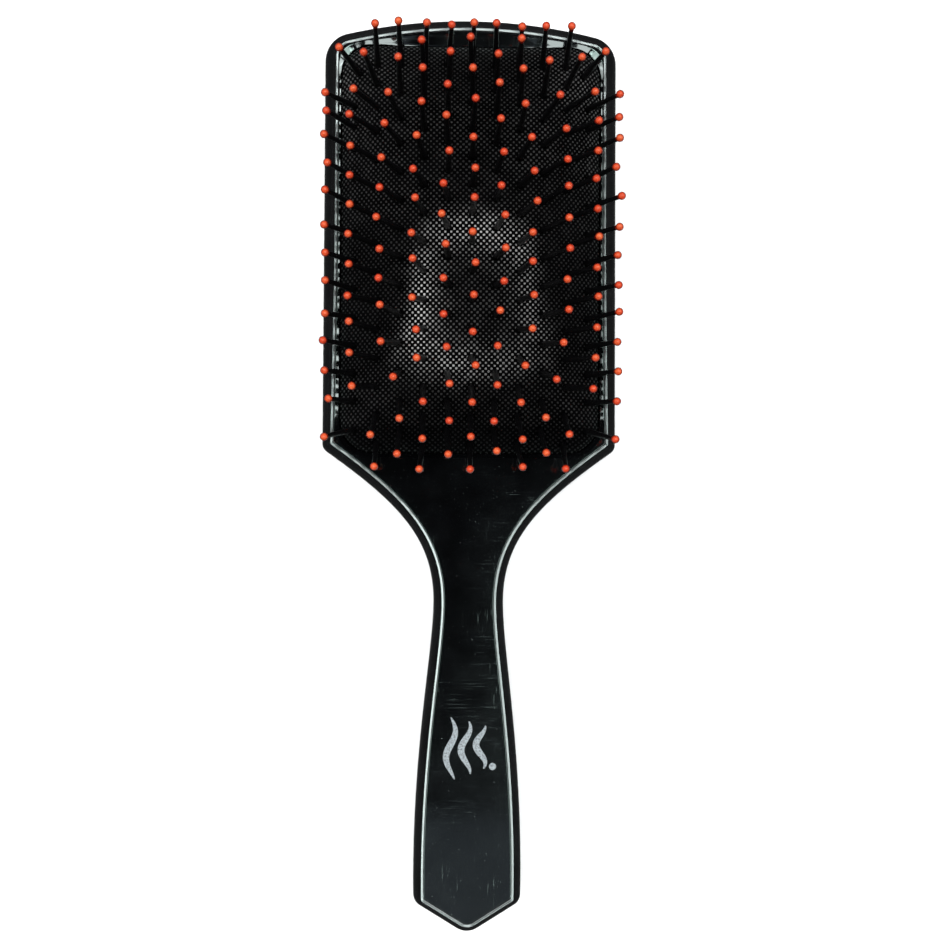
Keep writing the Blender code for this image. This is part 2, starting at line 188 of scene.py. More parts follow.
def crossing(a, b):
    """Where polyline a crosses polyline b: places along both, and the point."""
    p, r = a[:-1, None], (a[1:] - a[:-1])[:, None]
    q, s = b[None, :-1], (b[1:] - b[:-1])[None]
    cross = r[..., 0] * s[..., 1] - r[..., 1] * s[..., 0]
    cross = np.where(np.abs(cross) < 1e-18, 1e-18, cross)
    d = q - p
    t = (d[..., 0] * s[..., 1] - d[..., 1] * s[..., 0]) / cross
    u = (d[..., 0] * r[..., 1] - d[..., 1] * r[..., 0]) / cross
    i, j = np.argwhere((t >= 0) & (t <= 1) & (u >= 0) & (u <= 1))[0]
    return i + t[i, j], j + u[i, j], a[i] + t[i, j] * (a[i + 1] - a[i])


def along(curve, place):
    i = min(int(place), len(curve) - 2)
    return curve[i] + (place - i) * (curve[i + 1] - curve[i])


def outline(inset, counts=(26, 26, 90, 14), arcs=(14, 8, 10, 10)):
    """The brush's outline moved inwards by inset, clockwise from the top's middle."""
    curves = side_curves()
    mirror = np.array([[0, 1.0], [0, -1.0]])
    starts, ends, centres = [0.0], [], []
    for k, radius in enumerate(CORNER_RADII):
        reach = max(radius, inset + LEAST_RADIUS)
        after = inward(curves[k + 1], reach) if k < 3 else mirror
        end, start, centre = crossing(inward(curves[k], reach), after)
        ends.append(end)
        starts.append(start)
        centres.append(centre)
    points = []
    for k, curve in enumerate(curves):
        moved = inward(curve, inset)
        run = [along(moved, place) for place in np.linspace(starts[k], ends[k], counts[k] + 1)]
        points += run
        before = run[-1] - centres[k]
        a0, a1 = math.atan2(before[1], before[0]), -math.pi / 2
        if k < 3:
            after = along(inward(curves[k + 1], inset), starts[k + 1]) - centres[k]
            a1 = math.atan2(after[1], after[0])
        radius = np.linalg.norm(before)
        for step in range(1, arcs[k] + (k == 3)):
            angle = a0 + (a1 - a0) * step / arcs[k]
            points.append(centres[k] + radius * np.array([math.cos(angle), math.sin(angle)]))
    half = np.array(points)
    return np.concatenate([half, half[1:-1][::-1] * np.array([-1, 1])])


def rim(inset):
    """The outline moved inwards, and farther round the head than along the handle."""
    share = min(inset / MM, 1)
    near, far = (outline(inset + share * extra) for extra in RIM_EXTRA)
    low, high = RIM_EXTRA_Y
    t = eased(np.clip((near[:, 1:] - low) / (high - low), 0, 1))
    return near * (1 - t) + far * t


def window_ring(grow, sides=(96, 168), arc=14):
    """The window's outline grown by grow, in place, clockwise."""
    half_x, half_y = WINDOW_HALF_X + grow, WINDOW_HALF_Y + grow
    radius = min(max(WINDOW_RADIUS + grow, 0.6 * MM), half_x * 0.98)
    corners = ((1, 1), (1, -1), (-1, -1), (-1, 1))
    points = []

    def on_arc(corner, angle):
        centre = np.array([corner[0] * (half_x - radius), corner[1] * (half_y - radius)])
        return centre + radius * np.array([math.cos(angle), math.sin(angle)])

    for k, corner in enumerate(corners):
        start = math.pi / 2 * (1 - k)
        points += [on_arc(corner, start - math.pi / 2 * step / arc) for step in range(arc + 1)]
        following = on_arc(corners[(k + 1) % 4], start - math.pi / 2)
        count = sides[(k + 1) % 2]
        first = points[-1]
        points += [first + (following - first) * step / count for step in range(1, count)]
    return np.array(points) + np.array([0, WINDOW_Y])


def outward_normals(ring):
    step = np.roll(ring, -1, axis=0) - np.roll(ring, 1, axis=0)
    step /= np.linalg.norm(step, axis=1)[:, None]
    return np.stack([-step[:, 1], step[:, 0]], axis=1)


def inside(points, polygon):
    a, b = polygon, np.roll(polygon, -1, axis=0)
    x, y = points[:, :1], points[:, 1:]
    spans = (a[:, 1] > y) != (b[:, 1] > y)
    at = a[:, 0] + (y - a[:, 1]) * (b[:, 0] - a[:, 0]) / (b[:, 1] - a[:, 1] + 1e-18)
    return (spans & (x < at)).sum(axis=1) % 2 == 1


# ---------------------------------------------------------------- meshes


def loft_arrays(rings, zipped=False):
    """Vertices and faces of a closed solid through rings of (points in the plane, heights)."""
    count = len(rings[0][0])
    verts = []
    for points, heights in rings:
        heights = np.broadcast_to(heights, count)
        verts.append(np.column_stack([points, heights]))
    faces = []
    for k in range(len(rings) - 1):
        low, high = k * count, (k + 1) * count
        for i in range(count):
            j = (i + 1) % count
            faces.append((low + i, high + i, high + j, low + j))
    last = (len(rings) - 1) * count
    if zipped:
        for base, flip in ((0, True), (last, False)):
            ring = rings[0][0] if base == 0 else rings[-1][0]
            top = int(np.argmax(ring[:, 1] - np.abs(ring[:, 0])))
            for i in range(count // 2):
                r0, r1 = (top + i) % count, (top + i + 1) % count
                l0, l1 = (top - i) % count, (top - i - 1) % count
                corners = list(dict.fromkeys([r0, r1, l1, l0]))
                face = tuple(base + c for c in (corners if flip else corners[::-1]))
                faces.append(face)
    else:
        faces.append(tuple(range(count)))
        faces.append(tuple(range(last, last + count))[::-1])
    return np.concatenate(verts), faces


def mesh_object(name, verts, faces, mat=None):
    mesh = bpy.data.meshes.new(name)
    mesh.from_pydata([tuple(map(float, v)) for v in verts], [], faces)
    mesh.update()
    bm = bmesh.new()
    bm.from_mesh(mesh)
    bmesh.ops.recalc_face_normals(bm, faces=bm.faces)
    bm.to_mesh(mesh)
    bm.free()
    obj = bpy.data.objects.new(name, mesh)
    bpy.context.scene.collection.objects.link(obj)
    if mat:
        mesh.materials.append(mat)
    return obj


def cut(obj, cutters, solver="EXACT"):
    """Takes the cutters away from obj, for good."""
    for cutter in cutters:
        modifier = obj.modifiers.new("cut", "BOOLEAN")
        modifier.operation = "DIFFERENCE"
        modifier.solver = solver
        modifier.object = cutter
    bake(obj)
    for cutter in cutters:
        bpy.data.objects.remove(cutter, do_unlink=True)


def bake(obj):
    """Applies obj's modifiers."""
    graph = bpy.context.evaluated_depsgraph_get()
    mesh = bpy.data.meshes.new_from_object(obj.evaluated_get(graph))
    mesh.name = obj.name
    obj.modifiers.clear()
    obj.data = mesh


def shade(obj, angle=35, flat_faces=False):
    """Smooth shading with sharp edges. flat_faces keeps big flat faces evenly flat."""
    obj.data.shade_smooth()
    obj.data.set_sharp_from_angle(angle=math.radians(angle))
    if flat_faces:
        modifier = obj.modifiers.new("weighted", "WEIGHTED_NORMAL")
        modifier.weight = 100
        modifier.keep_sharp = True
        bake(obj)


def coordinates(obj):
    co = np.zeros(len(obj.data.vertices) * 3, np.float32)
    obj.data.vertices.foreach_get("co", co)
    return co.reshape(-1, 3).astype(float)


def store(obj, name, values):
    """Keeps one value, or one vector, for each vertex under name, for the materials."""
    values = np.asarray(values, np.float32)
    kind, key = ("FLOAT", "value") if values.ndim == 1 else ("FLOAT_VECTOR", "vector")
    attribute = obj.data.attributes.new(name, kind, "POINT")
    attribute.data.foreach_set(key, values.ravel())


def smooth_section(points, steps=4):
    """A Catmull-Rom curve through the section's points."""
    points = np.array(points, float)
    padded = np.vstack([2 * points[0] - points[1], points, 2 * points[-1] - points[-2]])
    out = []
    for i in range(1, len(padded) - 2):
        p0, p1, p2, p3 = padded[i - 1 : i + 3]
        for t in np.arange(steps) / steps:
            a = 2 * p1 + (p2 - p0) * t + (2 * p0 - 5 * p1 + 4 * p2 - p3) * t**2
            out.append((a + (3 * p1 - p0 - 3 * p2 + p3) * t**3) / 2)
    out.append(points[-1])
    return np.array(out)


# ---------------------------------------------------------------- materials


class Look:
    """A Principled material and short calls for its nodes."""

    def __init__(self, name, **sockets):
        self.material = bpy.data.materials.new(name)
        self.material.use_nodes = True
        self.tree = self.material.node_tree
        self.shader = self.tree.nodes["Principled BSDF"]
        self.object = self.node("ShaderNodeTexCoord").outputs["Object"]
        for socket, value in sockets.items():
            self.set(socket.replace("_", " "), value)

    def node(self, kind, inputs=None, **settings):
        made = self.tree.nodes.new(kind)
        for key, value in settings.items():
            setattr(made, key, value)
        for key, value in (inputs or {}).items():
            self.plug(made.inputs[key], value)
        return made

    def plug(self, socket, value):
        if isinstance(value, bpy.types.NodeSocket):
            self.tree.links.new(value, socket)
        else:
            socket.default_value = value

    def set(self, socket, value):
        self.plug(self.shader.inputs[socket], value)

    def stretched(self, scale, turn=0.0):
        inputs = {"Vector": self.object, "Scale": scale, "Rotation": (0, 0, math.radians(turn))}
        return self.node("ShaderNodeMapping", inputs).outputs["Vector"]

    def noise(self, scale, detail=3.0, roughness=0.5, vector=None, distortion=0.0):
        inputs = {
            "Vector": vector or self.object,
            "Scale": scale,
            "Detail": detail,
            "Roughness": roughness,
            "Distortion": distortion,
        }
        return self.node("ShaderNodeTexNoise", inputs).outputs["Fac"]

    def remap(self, value, low, high, to_low=0.0, to_high=1.0, smooth=True):
        inputs = {
            "Value": value,
            "From Min": low,
            "From Max": high,
            "To Min": to_low,
            "To Max": to_high,
        }
        kind = "SMOOTHSTEP" if smooth else "LINEAR"
        made = self.node("ShaderNodeMapRange", inputs, interpolation_type=kind)
        return made.outputs["Result"]

    def maths(self, operation, a, b=0.0):
        return self.node("ShaderNodeMath", {0: a, 1: b}, operation=operation).outputs[0]

    def mixed(self, share, a, b):
        colours = [c if isinstance(c, bpy.types.NodeSocket) else (*c, 1.0) for c in (a, b)]
        inputs = {0: share, 6: colours[0], 7: colours[1]}
        return self.node("ShaderNodeMix", inputs, data_type="RGBA").outputs[2]

    def attribute(self, name, output="Fac"):
        return self.node("ShaderNodeAttribute", attribute_name=name).outputs[output]

    def bump(self, height, distance, strength=1.0, normal=None):
        inputs = {"Height": height, "Distance": distance, "Strength": strength}
        if normal:
            inputs["Normal"] = normal
        return self.node("ShaderNodeBump", inputs).outputs["Normal"]

    def scratches(self, scale, turn, low, high, where=55):
        lines = self.noise(1.0, 2.0, 0.4, self.stretched(scale, turn), 0.2)
        patches = self.remap(self.noise(where, 2), 0.46, 0.66)
        return self.maths("MULTIPLY", self.remap(lines, low, high), patches)


def gloss_black():
    look = Look("gloss_black", IOR=1.6)
    smudges = look.noise(70, 4)
    grain = look.noise(1500, 2)
    hairlines = look.maths(
        "MAXIMUM",
        look.scratches((150, 4600, 60), 24, 0.64, 0.74),
        look.scratches((4200, 170, 60), -17, 0.66, 0.75, 80),
    )
    lip = look.attribute("lip")
    # Painted highlight: the lip's band is painted a lighter grey, standing in for the bright
    # reflection of the lights along it.
    lip_painted_highlight = look.maths("MULTIPLY", lip, look.remap(look.noise(420, 4, 0.6), 0.3, 0.7, 0.72, 1.0))
    clouds = look.remap(smudges, 0.35, 0.7)
    colour = look.mixed(clouds, (0.0016, 0.0017, 0.002), (0.004, 0.0042, 0.0048))
    colour = look.mixed(look.maths("MULTIPLY", hairlines, 0.12), colour, (0.05, 0.052, 0.055))
    look.set("Base Color", look.mixed(lip_painted_highlight, colour, (0.11, 0.114, 0.118)))
    rough = look.remap(smudges, 0.3, 0.75, 0.07, 0.13)
    rough = look.maths("ADD", rough, look.maths("MULTIPLY", hairlines, 0.14))
    look.set("Roughness", look.maths("ADD", rough, look.maths("MULTIPLY", lip, 0.08)))
    normal = look.bump(look.noise(420, 2), 0.0000035)
    normal = look.bump(grain, 0.0000012, normal=normal)
    look.set("Normal", look.bump(hairlines, -0.0000015, normal=normal))
    return look.material


def satin_black():
    look = Look("satin_black", IOR=1.6, Specular_IOR_Level=0.32)
    smudges = look.noise(45, 5, 0.55)
    dust = look.remap(look.noise(2600, 2, 0.5), 0.73, 0.8)
    hairlines = look.maths(
        "MAXIMUM",
        look.scratches((110, 5200, 40), 6, 0.62, 0.74),
        look.maths(
            "MAXIMUM",
            look.scratches((180, 4200, 60), -31, 0.66, 0.76, 75),
            look.scratches((4400, 160, 60), 9, 0.66, 0.76, 95),
        ),
    )
    clouds = look.remap(smudges, 0.32, 0.72)
    colour = look.mixed(clouds, (0.0012, 0.0013, 0.0016), (0.0034, 0.0038, 0.0046))
    colour = look.mixed(look.maths("MULTIPLY", hairlines, 0.06), colour, (0.06, 0.065, 0.075))
    look.set("Base Color", look.mixed(look.maths("MULTIPLY", dust, 0.35), colour, (0.16, 0.16, 0.155)))
    rough = look.remap(smudges, 0.3, 0.75, 0.05, 0.09)
    rough = look.maths("ADD", rough, look.maths("MULTIPLY", hairlines, 0.06))
    look.set("Roughness", look.maths("ADD", rough, look.maths("MULTIPLY", dust, 0.3)))
    normal = look.bump(look.noise(260, 3), 0.000004)
    normal = look.bump(look.noise(1900, 2), 0.0000016, normal=normal)
    look.set("Normal", look.bump(hairlines, -0.000002, normal=normal))
    return look.material


def dotted_rubber():
    """Rubber with raised dots on a square lattice that follows the sheet."""
    look = Look("dotted_rubber", IOR=1.5)
    axes = look.node("ShaderNodeSeparateXYZ", {0: look.attribute("sheet", "Vector")})
    turns = 2 * math.pi / DOT_PITCH
    waves = [
        look.maths("COSINE", look.maths("MULTIPLY", axes.outputs[k], turns)) for k in (0, 1)
    ]
    lattice = look.maths("MULTIPLY", *waves)
    uneven = look.remap(look.noise(330, 2), 0.3, 0.7, -0.14, 0.14)
    dots = look.remap(look.maths("ADD", lattice, uneven), 0.16, 0.62)
    # Painted highlight: the dots' tops are painted up to near-white where the crown attribute is high,
    # standing in for the lights' reflection on them.
    crown = look.attribute("crown")
    patchy = look.remap(look.noise(75, 4, 0.6), 0.3, 0.7, 0.4, 1.0)
    wear_and_painted_highlight = look.maths("MULTIPLY", crown, patchy)
    cloudy = look.remap(look.noise(60, 4), 0.3, 0.7)
    base = look.mixed(cloudy, (0.0006, 0.0006, 0.0007), (0.0016, 0.0016, 0.0018))
    dot_tops_painted_highlight = look.mixed(wear_and_painted_highlight, (0.007, 0.007, 0.0075), (0.85, 0.86, 0.85))
    look.set("Base Color", look.mixed(dots, base, dot_tops_painted_highlight))
    look.set("Specular IOR Level", look.remap(dots, 0, 1, 0.05, 0.5))
    rough = look.maths("SUBTRACT", 0.62, look.maths("MULTIPLY", dots, 0.26))
    unevenness = look.remap(look.noise(180, 3), 0.3, 0.7, -0.04, 0.05)
    look.set("Roughness", look.maths("ADD", rough, unevenness))
    normal = look.bump(look.noise(2600, 3), 0.000006)
    look.set("Normal", look.bump(dots, 0.00016, normal=normal))
    return look.material


def black_nylon():
    look = Look("black_nylon", IOR=1.5, Specular_IOR_Level=0.35)
    grain = look.noise(1400, 3)
    blacks = (0.0018, 0.0018, 0.0021), (0.005, 0.005, 0.0056)
    look.set("Base Color", look.mixed(look.noise(300, 3), *blacks))
    look.set("Roughness", look.remap(grain, 0.3, 0.7, 0.26, 0.42))
    draw = look.noise(1.0, 2.0, 0.5, look.stretched((4200, 4200, 240)))
    look.set("Normal", look.bump(draw, 0.000006))
    return look.material


def ball_orange():
    look = Look("ball_orange", IOR=1.46)
    tone = look.attribute("tone")
    cloudy = look.remap(look.noise(900, 3), 0.3, 0.7)
    red = look.mixed(cloudy, (0.76, 0.06, 0.018), (0.84, 0.085, 0.025))
    orange = look.mixed(cloudy, (0.86, 0.11, 0.03), (0.92, 0.16, 0.045))
    # Painted shade: the balls are painted dark red towards their rims, where they turn away, standing
    # in for the shade on their sides.
    facing = look.node("ShaderNodeLayerWeight", {"Blend": 0.5}).outputs["Facing"]
    edge = look.remap(facing, 0.14, 0.66)
    look.set("Base Color", look.mixed(edge, look.mixed(tone, red, orange), (0.2, 0.007, 0.004)))
    look.set("Roughness", look.remap(look.noise(1600, 2), 0.3, 0.7, 0.22, 0.34))
    look.set("Normal", look.bump(look.noise(2400, 2), 0.000005))
    return look.material


def mark_print():
    look = Look("mark_print", IOR=1.45)
    # Here the mask is only the print's wear.
    wear_and_painted_highlight = look.remap(look.noise(2100, 4, 0.65), 0.34, 0.58)
    look.set("Base Color", look.mixed(wear_and_painted_highlight, (0.16, 0.18, 0.19), (0.5, 0.57, 0.6)))
    look.set("Roughness", look.remap(look.noise(800, 3), 0.3, 0.7, 0.35, 0.55))
    look.set("Normal", look.bump(look.noise(3000, 2), 0.000004))
    return look.material


# ---------------------------------------------------------------- body


def prism(name, ring, low, high):
    verts, faces = loft_arrays([(ring, low), (ring, high)])
    return mesh_object(name, verts, faces)


# The sections are (distance in from the outline, height) in mm.
SHELL_SECTION = (
    (5.2, 0.0),
    (2.7, 0.5),
    (1.0, 1.9),
    (0.15, 4.2),
    (0.0, 6.6),
    (0.1, 8.4),
    (0.42, 9.9),
    (1.0, 10.95),
    (1.5, 11.48),
    (1.95, 11.9),
)
LIP_SECTION = (
    (2.03, 11.97),
    (2.1, 12.0),
    (2.16, 11.985),
    (2.22, 11.955),
    (2.36, 11.883),
    (2.5, 11.81),
    (2.6, 11.757),
    (2.64, 11.68),
    (2.65, 11.5),
)
SECTION_TOP = 12.0
PLATE_SEAT = 9.3
RIM_FROM = 7.0  # above this height the section follows the rim, not the plain outline
LIP_FROM, LIP_TO = 2.08 * MM, 2.66 * MM
LIP_OVER_PLATE = 0.1 * MM
SEAT_OVERLAP = 0.02 * MM
AIR_SPACE_FLOOR = 2.2 * MM
HANDLE_HOLLOW_INSET = 5.2 * MM
HANDLE_HOLLOW_FLOOR = 2.6 * MM
HANDLE_HOLLOW_TOP_Y = -7 * MM


def body_shell(mat):
    section = [tuple(p) for p in smooth_section(SHELL_SECTION)]
    section = [(inset, min(height, SECTION_TOP)) for inset, height in section]
    section += list(LIP_SECTION) + [(LIP_SECTION[-1][0], PLATE_SEAT)]
    lift = BODY_TOP - SECTION_TOP * MM
    rings = []
    for inset, height in section:
        ring = rim(inset * MM) if height > RIM_FROM else outline(inset * MM)
        rings.append((ring, height * MM + lift))
    shell = mesh_object("shell_gloss", *loft_arrays(rings), mat)
    hollow = outline(HANDLE_HOLLOW_INSET)
    hollow = hollow[hollow[:, 1] < HANDLE_HOLLOW_TOP_Y]
    flange_floor = FLANGE_TOP - FLANGE_THICKNESS - GAP
    seat = PLATE_SEAT * MM + lift + SEAT_OVERLAP
    cutters = [
        prism("flange_seat", window_ring(FLANGE_REACH + GAP), flange_floor, seat),
        prism("air_space", window_ring(0), AIR_SPACE_FLOOR, BODY_TOP + MM),
        prism("handle_hollow", hollow, HANDLE_HOLLOW_FLOOR, BODY_TOP + MM),
    ]
    cut(shell, cutters)
    shade(shell, 40, flat_faces=True)
    # The lip attribute marks the lip's band, where the gloss material paints a lighter highlight.
    co = coordinates(shell)
    high = np.where(co[:, 2] > PLATE_TOP + LIP_OVER_PLATE)[0]
    lip = np.zeros(len(co))
    lip[high] = inside(co[high, :2], rim(LIP_FROM)) & ~inside(co[high, :2], rim(LIP_TO))
    store(shell, "lip", lip)
    return shell


# The ledge that slopes from the plate's top down to the window.
LEDGE_DROP = 0.85 * MM
LEDGE_LEAST_DROP = 0.2 * MM
LEDGE_SLOPES = (0.46, 0.64)  # most of the way round, and at the bottom
LEDGE_LOW_WIDTH = 1.2 * MM
LEDGE_LOW_Y = (2 * MM, 16 * MM)  # over the window's lower edge, the bottom's width fades here
LEDGE_STEP, LEDGE_MOST = 0.05, 8
LEDGE_FINE_STEPS = (0.025, 0.0125, 0.006, 0.003)
LEDGE_FOOT = ((0.0, 0.14), (0.05, 0.04))  # (distance out, depth under the ledge) in mm
LEDGE_CURVE = 1.12
PLATE_EDGE = 2.74 * MM
PLATE_CHAMFER = ((0.0, 0.1), (0.03, 0.03), (0.1, 0.0))  # (distance in, depth) in mm
LEDGE_EDGE = 2.92 * MM


def ledge_width(ring, normals):
    """How far the ledge reaches from the window's edge round the ring, and how steep it is."""
    reach = np.zeros(len(ring))
    going = np.ones(len(ring), bool)
    border = rim(LEDGE_EDGE)
    for distance in np.arange(LEDGE_STEP, LEDGE_MOST, LEDGE_STEP) * MM:
        going &= inside(ring + normals * distance, border)
        reach[going] = distance
    for step in LEDGE_FINE_STEPS:
        farther = reach + step * MM
        fits = inside(ring + normals * farther[:, None], border)
        reach = np.where(fits & (reach > 0), farther, reach)
    fade_to, fade_from = LEDGE_LOW_Y
    height = ring[:, 1] - (WINDOW_Y - WINDOW_HALF_Y)
    low = eased(np.clip((fade_from - height) / (fade_from - fade_to), 0, 1))
    reach = reach * (1 - low) + np.minimum(reach, LEDGE_LOW_WIDTH) * low
    for _ in range(6):
        reach = (np.roll(reach, 1) + reach * 2 + np.roll(reach, -1)) / 4
    return reach, LEDGE_SLOPES[0] * (1 - low) + LEDGE_SLOPES[1] * low


def face_plate(mat):
    rings = [(rim(PLATE_EDGE), PLATE_UNDER)]
    rings += [(rim(PLATE_EDGE + x * MM), PLATE_TOP - z * MM) for x, z in PLATE_CHAMFER]
    plate = mesh_object("plate_satin", *loft_arrays(rings), mat)
    ring = window_ring(0.0, (60, 100), 16)
    normals = outward_normals(ring)
    width, slope = ledge_width(ring, normals)
    drop = np.minimum(LEDGE_DROP, np.maximum(width * slope, LEDGE_LEAST_DROP))
    foot = PLATE_TOP - drop
    funnel = [(ring, PLATE_UNDER - MM)]
    funnel += [(ring + normals * out * MM, foot - under * MM) for out, under in LEDGE_FOOT]
    for share in (0.12, 0.3, 0.5, 0.7, 0.88, 1.0):
        rise = share**LEDGE_CURVE * drop
        funnel.append((ring + normals * (width * share)[:, None], foot + rise))
    funnel.append((funnel[-1][0], PLATE_TOP + MM))
    cutter = mesh_object("funnel", *loft_arrays(funnel))
    cut(plate, [cutter])
    shade(plate, 30, flat_faces=True)
    return plate


# ---------------------------------------------------------------- pins' places


def depth_inside(x, y):
    """Distance in from the window's edge, x and y about its middle."""
    qx = np.abs(x) - (WINDOW_HALF_X - WINDOW_RADIUS)
    qy = np.abs(y) - (WINDOW_HALF_Y - WINDOW_RADIUS)
    outside = np.hypot(np.maximum(qx, 0), np.maximum(qy, 0))
    return WINDOW_RADIUS - outside - np.minimum(np.maximum(qx, qy), 0)


def dome(x, y):
    """Height of the cushion's outer surface over the face plate, about the window's middle."""
    across = 1 - np.minimum(np.abs(x) / DOME_HALF_X, 0.999) ** DOME_POWER_X
    down = 1 - np.minimum(np.abs(y) / DOME_HALF_Y, 0.999) ** DOME_POWER_Y
    pillow = (across**-DOME_BLEND + down**-DOME_BLEND) ** (-1 / DOME_BLEND)
    height = DOME_HEIGHT * pillow * 2 ** (1 / DOME_BLEND)
    edge = DOME_EDGE_SLOPE * np.maximum(depth_inside(x, y), 0) + 0.1 * MM
    return (height**-4 + edge**-4) ** -0.25


def pin_direction(x, y):
    step = 0.1 * MM
    slope_x = (dome(x + step, y) - dome(x - step, y)) / (2 * step)
    slope_y = (dome(x, y + step) - dome(x, y - step)) / (2 * step)
    lean = np.array([-slope_x, -slope_y]) * PIN_LEAN
    size = float(np.hypot(*lean))
    if size > math.tan(MOST_LEAN):
        lean *= math.tan(MOST_LEAN) / size
    direction = np.array([lean[0], lean[1], 1.0])
    return direction / np.linalg.norm(direction)


def pin_roots():
    """Every pin as (CAD node, root on the cushion's outer surface, direction)."""
    roots = []
    for column in range(-COLUMNS, COLUMNS + 1):
        even = column % 2 == 0
        count = LONG_COLUMN if even else SHORT_COLUMN
        for place in range(count):
            y = LAST_ROW_Y + (count - 1 - place) * ROW_PITCH + (0 if even else ROW_PITCH / 2)
            if even and place == 0:
                y = LAST_ROW_Y + (LONG_COLUMN - 2) * ROW_PITCH + FIRST_ROW_STEP
            if place < len(ROW_SAG):
                y -= ROW_SAG[place] * (column / COLUMNS) ** 2
            x = column * COLUMN_PITCH
            ring = min(COLUMNS - abs(column), place, count - 1 - place)
            if ring == COLUMNS - abs(column):
                part = "middle" if column == 0 else ("right" if column > 0 else "left")
            else:
                part = "top" if place < count - 1 - place else "bottom"
            direction = None
            if abs(column) == COLUMNS and place == 0:
                side = math.copysign(1, x)
                x -= side * CORNER_STEP[0]
                y -= CORNER_STEP[1]
                direction = np.array([side * CORNER_LEAN[0], CORNER_LEAN[1], 1.0])
                direction /= np.linalg.norm(direction)
            root = np.array([x, y + WINDOW_Y, PLATE_TOP + float(dome(x, y))])
            if direction is None:
                direction = pin_direction(x, y)
            roots.append((f"pins_ring{ring}_{part}", root, direction))
    return roots


# ---------------------------------------------------------------- cushion

EDGE_ROLL = 1.25 * MM  # how far the rubber rolls down at the window's edge
DIMPLE_DEPTH, DIMPLE_RADIUS = 0.26, 1.15  # round a pin, in mm, with a low ridge outside it
RIDGE_HEIGHT, RIDGE_RADIUS, RIDGE_WIDTH = 0.1, 1.9, 0.6
DIMPLE_REACH = 4
SHEET_GRID = (281, 441)
INNER_INSETS = (33.6, 30, 26, 22, 18, 14, 11, 8, 6.5, 5, 4, 3.2, 2.4, 1.8)
EDGE_INSETS = (0.3, 0.36, 0.5, 0.7, 0.95, 1.3, 1.7, 2.15, 2.6)
TOP_INSETS = (3.1, 33.7, 0.55)  # first, end and step
EDGE_DROP = 0.12 * MM
FLANGE_CHAMFER = 0.15 * MM
HOLE_RADIUS = 1.0 * MM
HOLE_DEPTH = 3.4 * MM
HOLE_LENGTH = 5.2 * MM
HOLE_SIDES = 20


def cushion_top(x, y, seats):
    """The rubber's outer surface in place, with a dimple round each pin's seat."""
    depth = np.maximum(depth_inside(x, y - WINDOW_Y), 0)
    z = PLATE_TOP + dome(x, y - WINDOW_Y) - EDGE_ROLL * np.exp(-depth / MM)
    for seat in seats:
        near = np.hypot(x - seat[0], y - seat[1]) / MM
        close = near < DIMPLE_REACH
        dimple = DIMPLE_DEPTH * bell(near[close], DIMPLE_RADIUS)
        ridge = RIDGE_HEIGHT * bell(near[close] - RIDGE_RADIUS, RIDGE_WIDTH)
        z[close] += (ridge - dimple) * MM
    return z


def sheet_coordinates(co):
    """Distances along the sheet from its middle, in X and in Y, at each vertex."""
    xs = np.linspace(-WINDOW_HALF_X, WINDOW_HALF_X, SHEET_GRID[0])
    ys = np.linspace(-WINDOW_HALF_Y, WINDOW_HALF_Y, SHEET_GRID[1])
    gx, gy = np.meshgrid(xs, ys, indexing="ij")
    z = dome(gx, gy)

    def arc(axis, line):
        step = np.gradient(z, line, axis=axis)
        speed = np.sqrt(1 + step**2)
        after = np.take(speed, range(1, len(line)), axis)
        before = np.take(speed, range(len(line) - 1), axis)
        run = np.cumsum((after + before) / 2, axis=axis) * (line[1] - line[0])
        run = np.concatenate([np.zeros_like(np.take(run, [0], axis)), run], axis=axis)
        return run - np.take(run, [len(line) // 2], axis)

    u, v = arc(0, xs), arc(1, ys)
    fx = np.clip((co[:, 0] - xs[0]) / (xs[1] - xs[0]), 0, len(xs) - 1.001)
    fy = np.clip((co[:, 1] - WINDOW_Y - ys[0]) / (ys[1] - ys[0]), 0, len(ys) - 1.001)
    i, j = fx.astype(int), fy.astype(int)
    a, b = fx - i, fy - j

    def sample(field):
        low = field[i, j] * (1 - a) + field[i + 1, j] * a
        high = field[i, j + 1] * (1 - a) + field[i + 1, j + 1] * a
        return low * (1 - b) + high * b

    return np.column_stack([sample(u), sample(v), np.zeros(len(co))])


def turned(base, direction, profile, sides):
    """Vertices and faces of a closed turned solid. profile is (distance, radius) pairs."""
    across = np.cross(direction, [0, 1.0, 0])
    across /= np.linalg.norm(across)
    up = np.cross(direction, across)
    angles = 2 * math.pi * np.arange(sides) / sides
    spokes = np.cos(angles)[:, None] * across + np.sin(angles)[:, None] * up
    verts, faces, starts = [], [], []
    for distance, radius in profile:
        starts.append(len(verts))
        centre = base + distance * direction
        if radius == 0:
            verts.append(centre)
        else:
            verts += list(centre + radius * spokes)
    for k in range(len(profile) - 1):
        low, high = starts[k], starts[k + 1]
        for i in range(sides):
            j = (i + 1) % sides
            if profile[k][1] == 0:
                faces.append((low, high + j, high + i))
            elif profile[k + 1][1] == 0:
                faces.append((low + i, low + j, high))
            else:
                faces.append((low + i, low + j, high + j, high + i))
    if profile[0][1] > 0:
        faces.append(tuple(range(sides))[::-1])
    if profile[-1][1] > 0:
        faces.append(tuple(range(starts[-1], starts[-1] + sides)))
    return verts, faces


def many_turned(name, solids, mat=None, tones=None):
    """One mesh of many turned solids. solids is (base, direction, profile, sides)."""
    verts, faces, tone = [], [], []
    for k, solid in enumerate(solids):
        v, f = turned(*solid)
        faces += [tuple(len(verts) + i for i in face) for face in f]
        verts += v
        if tones:
            tone += [tones[k]] * len(v)
    obj = mesh_object(name, verts, faces, mat)
    if tones:
        store(obj, "tone", tone)
    return obj


